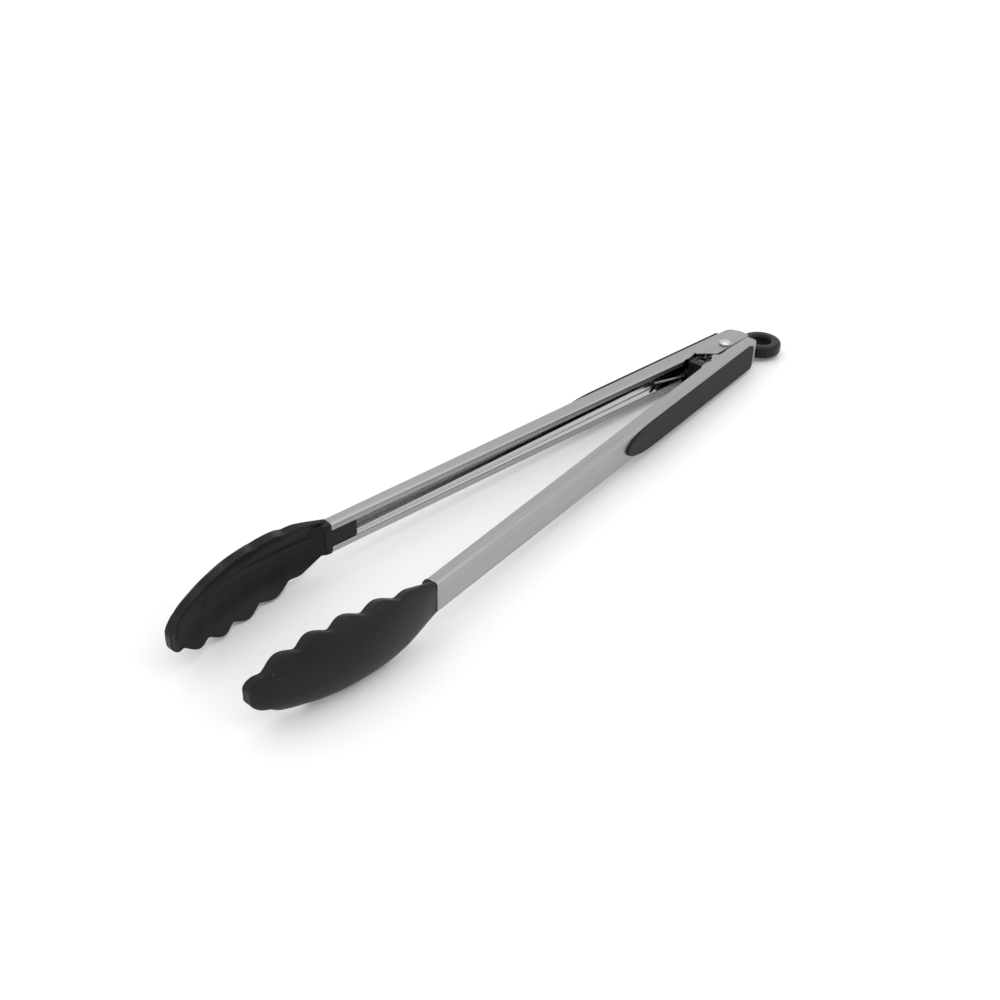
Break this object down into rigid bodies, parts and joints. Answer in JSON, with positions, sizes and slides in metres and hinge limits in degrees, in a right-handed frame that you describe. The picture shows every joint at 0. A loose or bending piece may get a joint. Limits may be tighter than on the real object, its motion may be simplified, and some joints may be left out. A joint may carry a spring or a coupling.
{
  "type": "spring loaded kitchen tongs",
  "caption": "Locking kitchen tongs with sprung steel channel arms, soft grips, scalloped nylon heads and a pull ring lock.",
  "frame": {"origin": "bottom centre of the whole object's box, with the heads' lower edges at z 0 and the pivot behind the middle", "axes": "+X from the hinge to the heads, +Y towards the left arm, +Z along the pivot axis"},
  "size_m": [0.376, 0.0738, 0.0319],
  "materials": {
    "arm_steel": "brushed outside, polished inside",
    "soft_grip": "soft matte",
    "nylon": "satin moulded",
    "rivet_steel": "bright turned",
    "spring_wire": "drawn bright wire"
  },
  "bodies": {
    "hinge_core": {"pivot_rivet": "rivet_steel", "pivot_sleeve": "rivet_steel", "upper_washer": "rivet_steel", "lower_washer": "rivet_steel", "torsion_spring": "spring_wire"},
    "left_arm": {"left_arm_channel": "arm_steel", "left_grip": "soft_grip", "left_head": "nylon"},
    "right_arm": {"right_arm_channel": "arm_steel", "right_grip": "soft_grip", "right_head": "nylon"},
    "lock": {"lock_slide": "nylon", "lock_cross_pin": "rivet_steel"},
    "ring": {"pull_ring": "nylon", "ring_pin": "rivet_steel"}
  },
  "joints": [
    {"name": "left_arm_swing", "type": "hinge", "parent": "hinge_core", "child": "left_arm", "pos_m": [-0.1456, 0, 0.01594], "axis": [0, 0, -1], "range_deg": [0, 3.25], "stiffness_Nm_per_rad": 0.3, "springref_deg": -6.88, "deforming": ["torsion_spring"]},
    {"name": "right_arm_swing", "type": "hinge", "parent": "hinge_core", "child": "right_arm", "pos_m": [-0.1456, 0, 0.01594], "axis": [0, 0, 1], "range_deg": [0, 3.25], "stiffness_Nm_per_rad": 0.3, "springref_deg": -6.88, "deforming": ["torsion_spring"]},
    {"name": "lock_pull", "type": "slide", "parent": "hinge_core", "child": "lock", "axis": [-1, 0, 0], "range_m": [0, 0.006]},
    {"name": "ring_swing", "type": "hinge", "parent": "lock", "child": "ring", "pos_m": [-0.1666, 0, 0.01594], "axis": [0, 0, 1], "range_deg": [-9, 41]}
  ],
  "couplings": [
    {"joint": "right_arm_swing", "follows": "left_arm_swing", "ratio": 1}
  ]
}
